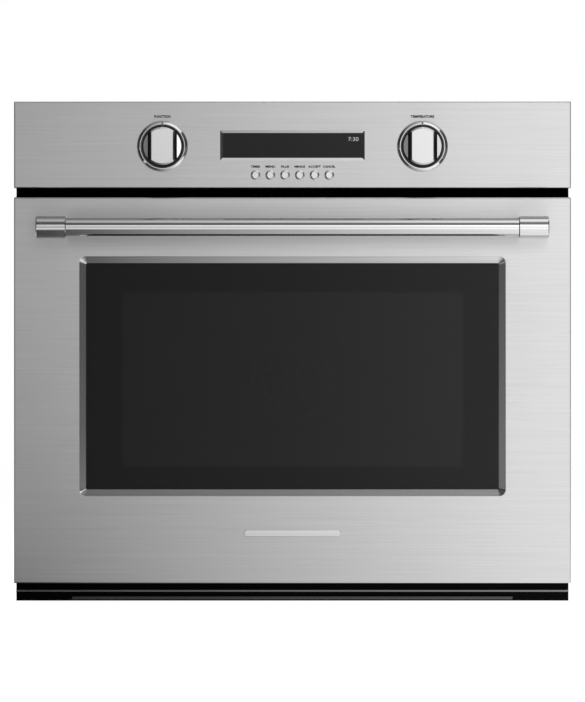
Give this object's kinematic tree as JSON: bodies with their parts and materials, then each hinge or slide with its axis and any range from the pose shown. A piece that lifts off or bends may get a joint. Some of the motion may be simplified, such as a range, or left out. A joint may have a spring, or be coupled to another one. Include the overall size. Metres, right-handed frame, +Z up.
{
  "type": "built-in wall oven",
  "caption": "Built-in electric wall oven with a drop-down glazed door, bar handle, two dials, a row of push buttons, wire shelves and a cooling blower.",
  "frame": {"origin": "on the base in the plane of the cabinet's face, midway between the sides", "axes": "+X to the viewer's right, -Y out of the cabinet towards the viewer, +Z up"},
  "size_m": [0.758, 0.6997, 0.681],
  "materials": {
    "front_steel": "brushed, horizontal grain",
    "handle_steel": "satin, fine grain along the bar",
    "knob_metal": "satin chrome",
    "polished_trim": "polished",
    "black_frame": "satin black",
    "galvanised": "zinc-coated sheet",
    "enamel": "glossy speckled enamel",
    "rack_wire": "bright wire",
    "slide_steel": "plain sheet",
    "element_sheath": "oxidised",
    "insulation": "mineral wool",
    "gasket_braid": "woven glass fibre",
    "motor_paint": "matt black",
    "door_glass": "tinted, polished",
    "clear_glass": "clear, polished",
    "display_glass": "dark, polished",
    "black_plastic": "matt",
    "circuit_board": "green solder mask",
    "screw_zinc": "zinc plated"
  },
  "bodies": {
    "chassis": {"bake_element": "element_sheath", "base_pan": "galvanised", "blower_housing": "galvanised", "blower_motor": "motor_paint", "broil_element": "element_sheath", "casing_screws": "screw_zinc", "cavity_back": "enamel", "cavity_wrapper": "enamel", "conduit_gland": "screw_zinc", "control_board": "circuit_board", "control_fascia": "front_steel", "convection_element": "element_sheath", "convection_motor": "motor_paint", "dial_encoders": "black_plastic", "dial_rings": "polished_trim", "display_bezel": "polished_trim", "display_glass": "display_glass", "door_gasket": "gasket_braid", "fan_baffle": "enamel", "front_frame": "black_frame", "hinge_claws": "slide_steel", "hinge_receivers": "galvanised", "insulation_wrap": "insulation", "junction_box": "galvanised", "lamp_bulbs": "clear_glass", "lamp_housings": "galvanised", "lamp_lenses": "clear_glass", "latch_motor": "motor_paint", "lower_vent_trim": "black_frame", "rear_panel": "galvanised", "side_panels": "galvanised", "side_racks": "rack_wire", "slide_outer_rails": "slide_steel", "temperature_probe": "slide_steel", "top_cover": "galvanised"},
    "door": {"door_skin": "front_steel", "outer_glass": "door_glass", "glass_frame": "black_plastic", "middle_glass": "clear_glass", "inner_glass": "clear_glass", "door_liner": "enamel", "handle_bar": "handle_steel", "handle_brackets": "handle_steel", "hinge_channels": "slide_steel", "badge_plate": "polished_trim"},
    "upper_shelf_body": {"upper_shelf": "rack_wire"},
    "lower_shelf_body": {"lower_shelf": "rack_wire", "slide_inner_rails": "slide_steel"},
    "slide_middle": {"slide_middle_rails": "slide_steel"},
    "oven_fan": {"convection_fan": "slide_steel"},
    "blower_impeller": {"blower_wheel": "black_plastic"},
    "function_dial_body": {"function_knob": "knob_metal"},
    "temperature_dial_body": {"temperature_knob": "knob_metal"},
    "latch": {"latch_hook": "slide_steel"},
    "timer_key": {"timer_button": "knob_metal"},
    "menu_key": {"menu_button": "knob_metal"},
    "plus_key": {"plus_button": "knob_metal"},
    "minus_key": {"minus_button": "knob_metal"},
    "accept_key": {"accept_button": "knob_metal"},
    "cancel_key": {"cancel_button": "knob_metal"}
  },
  "joints": [
    {"name": "door_hinge", "type": "hinge", "parent": "chassis", "child": "door", "pos_m": [0, -0.024, 0.04], "axis": [1, 0, 0], "range_deg": [0, 90], "stiffness_Nm_per_rad": 20, "springref_deg": -20.05},
    {"name": "upper_shelf_slide", "type": "slide", "parent": "chassis", "child": "upper_shelf_body", "axis": [0, -1, 0], "range_m": [0, 0.2985]},
    {"name": "lower_shelf_slide", "type": "slide", "parent": "chassis", "child": "lower_shelf_body", "axis": [0, -1, 0], "range_m": [0, 0.2985]},
    {"name": "slide_middle_travel", "type": "slide", "parent": "chassis", "child": "slide_middle", "axis": [0, -1, 0], "range_m": [0, 0.1493]},
    {"name": "oven_fan_spin", "type": "hinge", "parent": "chassis", "child": "oven_fan", "pos_m": [0, 0.48, 0.3], "axis": [0, -1, 0], "continuous": true},
    {"name": "blower_spin", "type": "hinge", "parent": "chassis", "child": "blower_impeller", "pos_m": [0, 0.31, 0.58], "axis": [0, 0, 1], "continuous": true},
    {"name": "function_dial_turn", "type": "hinge", "parent": "chassis", "child": "function_dial_body", "pos_m": [-0.177, -0.06, 0.62], "axis": [0, -1, 0], "continuous": true},
    {"name": "temperature_dial_turn", "type": "hinge", "parent": "chassis", "child": "temperature_dial_body", "pos_m": [0.177, -0.06, 0.62], "axis": [0, -1, 0], "continuous": true},
    {"name": "latch_turn", "type": "hinge", "parent": "chassis", "child": "latch", "pos_m": [0.005, 0.035, 0.535], "axis": [0, 0, -1], "range_deg": [0, 15]},
    {"name": "timer_press", "type": "slide", "parent": "chassis", "child": "timer_key", "axis": [0, 1, 0], "range_m": [0, 0.0012], "stiffness_N_per_m": 700, "springref_m": -0.001},
    {"name": "menu_press", "type": "slide", "parent": "chassis", "child": "menu_key", "axis": [0, 1, 0], "range_m": [0, 0.0012], "stiffness_N_per_m": 700, "springref_m": -0.001},
    {"name": "plus_press", "type": "slide", "parent": "chassis", "child": "plus_key", "axis": [0, 1, 0], "range_m": [0, 0.0012], "stiffness_N_per_m": 700, "springref_m": -0.001},
    {"name": "minus_press", "type": "slide", "parent": "chassis", "child": "minus_key", "axis": [0, 1, 0], "range_m": [0, 0.0012], "stiffness_N_per_m": 700, "springref_m": -0.001},
    {"name": "accept_press", "type": "slide", "parent": "chassis", "child": "accept_key", "axis": [0, 1, 0], "range_m": [0, 0.0012], "stiffness_N_per_m": 700, "springref_m": -0.001},
    {"name": "cancel_press", "type": "slide", "parent": "chassis", "child": "cancel_key", "axis": [0, 1, 0], "range_m": [0, 0.0012], "stiffness_N_per_m": 700, "springref_m": -0.001}
  ],
  "couplings": [
    {"joint": "upper_shelf_slide", "follows": "door_hinge", "m_per_rad": 0.19},
    {"joint": "lower_shelf_slide", "follows": "door_hinge", "m_per_rad": 0.19},
    {"joint": "slide_middle_travel", "follows": "door_hinge", "m_per_rad": 0.095}
  ]
}
